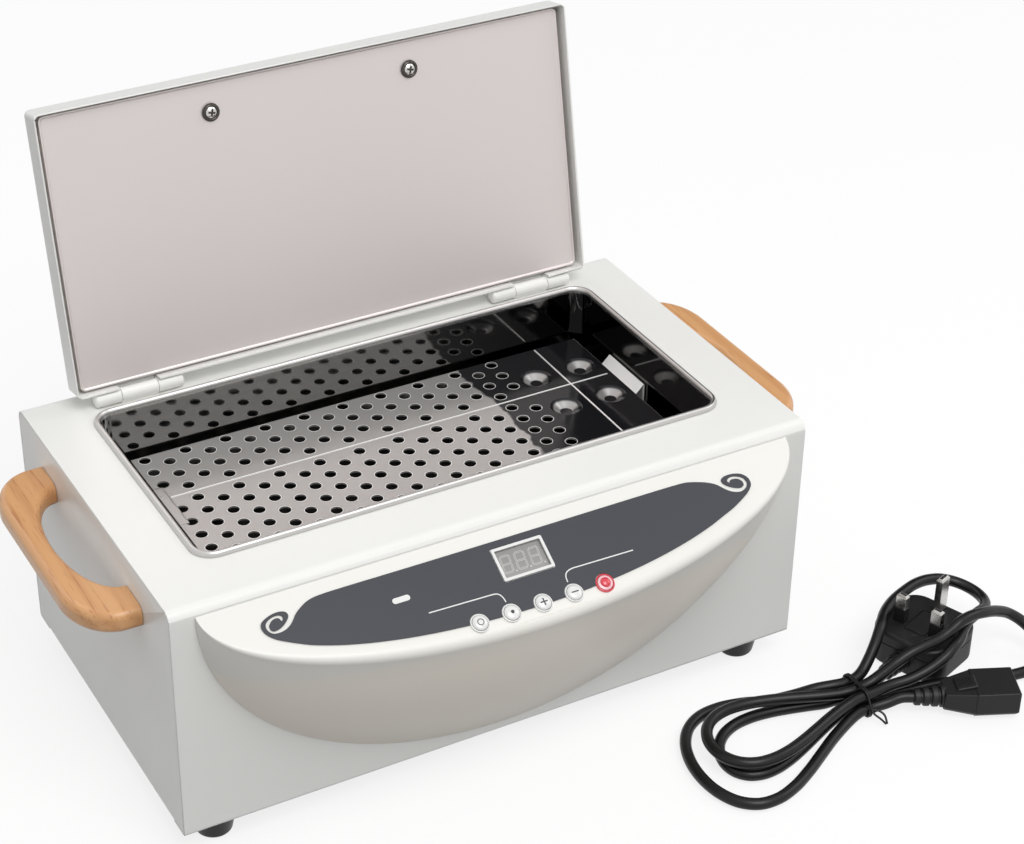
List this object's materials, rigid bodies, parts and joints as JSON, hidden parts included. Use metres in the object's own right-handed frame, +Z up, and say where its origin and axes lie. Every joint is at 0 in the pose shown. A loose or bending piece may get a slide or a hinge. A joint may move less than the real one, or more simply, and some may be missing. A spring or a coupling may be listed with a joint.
{
  "type": "dry heat sterilizer",
  "caption": "Bench-top heated steel tank with hinged lid, perforated tray, half-moon control fascia, wooden side handles and detachable mains lead.",
  "frame": {"origin": "under the middle of the appliance, on the surface that its feet stand on", "axes": "+X to the user's right along the casing, +Y to the back, +Z up"},
  "size_m": [0.5177, 0.3373, 0.3122],
  "materials": {
    "painted_steel": "semi-gloss white powder coat",
    "polished_steel": "polished stainless sheet",
    "plated_steel": "plated steel",
    "cream_plastic": "fine satin moulding",
    "label_film": "printed film",
    "display_window": "tinted window",
    "red_plastic": "gloss moulding",
    "board_green": "circuit board",
    "beech_wood": "lacquered beech",
    "black_rubber": "matt rubber",
    "black_plastic": "fine moulded texture",
    "glass_wool": "compressed glass wool",
    "plug_brass": "nickel-plated brass"
  },
  "bodies": {
    "root": {"outer_casing": "painted_steel", "side_panel_left": "painted_steel", "side_panel_right": "painted_steel", "base_pan": "painted_steel", "foot_front_left": "black_rubber", "foot_screw_front_left": "plated_steel", "foot_front_right": "black_rubber", "foot_screw_front_right": "plated_steel", "foot_back_right": "black_rubber", "foot_screw_back_right": "plated_steel", "foot_back_left": "black_rubber", "foot_screw_back_left": "plated_steel", "tank": "polished_steel", "heater_element": "plated_steel", "heater_strap_left": "plated_steel", "heater_strap_right": "plated_steel", "tank_blanket": "glass_wool", "temperature_probe": "plated_steel", "case_hinge_left": "painted_steel", "hinge_pin_left": "plated_steel", "handle_left": "beech_wood", "handle_bolt_left_front": "plated_steel", "handle_bolt_left_back": "plated_steel", "case_hinge_right": "painted_steel", "hinge_pin_right": "plated_steel", "handle_right": "beech_wood", "handle_bolt_right_front": "plated_steel", "handle_bolt_right_back": "plated_steel", "fascia": "cream_plastic", "label": "label_film", "display_bezel": "cream_plastic", "display_module": "display_window", "control_board": "board_green", "mains_inlet": "black_plastic", "switch_housing": "black_plastic", "mains_cord": "black_rubber", "cord_connector": "black_plastic", "plug_body": "black_plastic", "plug_pin_line": "plug_brass", "plug_pin_neutral": "plug_brass", "plug_pin_earth": "plug_brass", "cord_tie": "black_plastic"},
    "lid": {"lid_shell": "painted_steel", "lid_liner": "polished_steel", "lid_insulation": "glass_wool", "lid_screw_left": "plated_steel", "lid_hinge_left": "painted_steel", "lid_screw_right": "plated_steel", "lid_hinge_right": "painted_steel"},
    "tray": {"tray": "polished_steel"},
    "rocker": {"switch_rocker": "black_plastic"},
    "button_menu": {"button_menu": "cream_plastic"},
    "button_temperature": {"button_temperature": "cream_plastic"},
    "button_plus": {"button_plus": "cream_plastic"},
    "button_minus": {"button_minus": "cream_plastic"},
    "button_reset": {"button_reset": "red_plastic"}
  },
  "joints": [
    {"name": "lid_hinge", "type": "hinge", "parent": "root", "child": "lid", "pos_m": [0, 0.09642, 0.1564], "axis": [1, 0, 0], "range_deg": [0, 101.5]},
    {"name": "tray_lift", "type": "slide", "parent": "root", "child": "tray", "axis": [0, 0, 1], "range_m": [0, 0.025]},
    {"name": "rocker_tilt", "type": "hinge", "parent": "root", "child": "rocker", "pos_m": [0.15, 0.11902, 0.055], "axis": [1, 0, 0], "range_deg": [-18, 0]},
    {"name": "press_menu", "type": "slide", "parent": "root", "child": "button_menu", "axis": [0, 0.5, -0.866], "range_m": [0, 0.0008], "stiffness_N_per_m": 600},
    {"name": "press_temperature", "type": "slide", "parent": "root", "child": "button_temperature", "axis": [0, 0.5, -0.866], "range_m": [0, 0.0008], "stiffness_N_per_m": 600},
    {"name": "press_plus", "type": "slide", "parent": "root", "child": "button_plus", "axis": [0, 0.5, -0.866], "range_m": [0, 0.0008], "stiffness_N_per_m": 600},
    {"name": "press_minus", "type": "slide", "parent": "root", "child": "button_minus", "axis": [0, 0.5, -0.866], "range_m": [0, 0.0008], "stiffness_N_per_m": 600},
    {"name": "press_reset", "type": "slide", "parent": "root", "child": "button_reset", "axis": [0, 0.5, -0.866], "range_m": [0, 0.0008], "stiffness_N_per_m": 600}
  ]
}
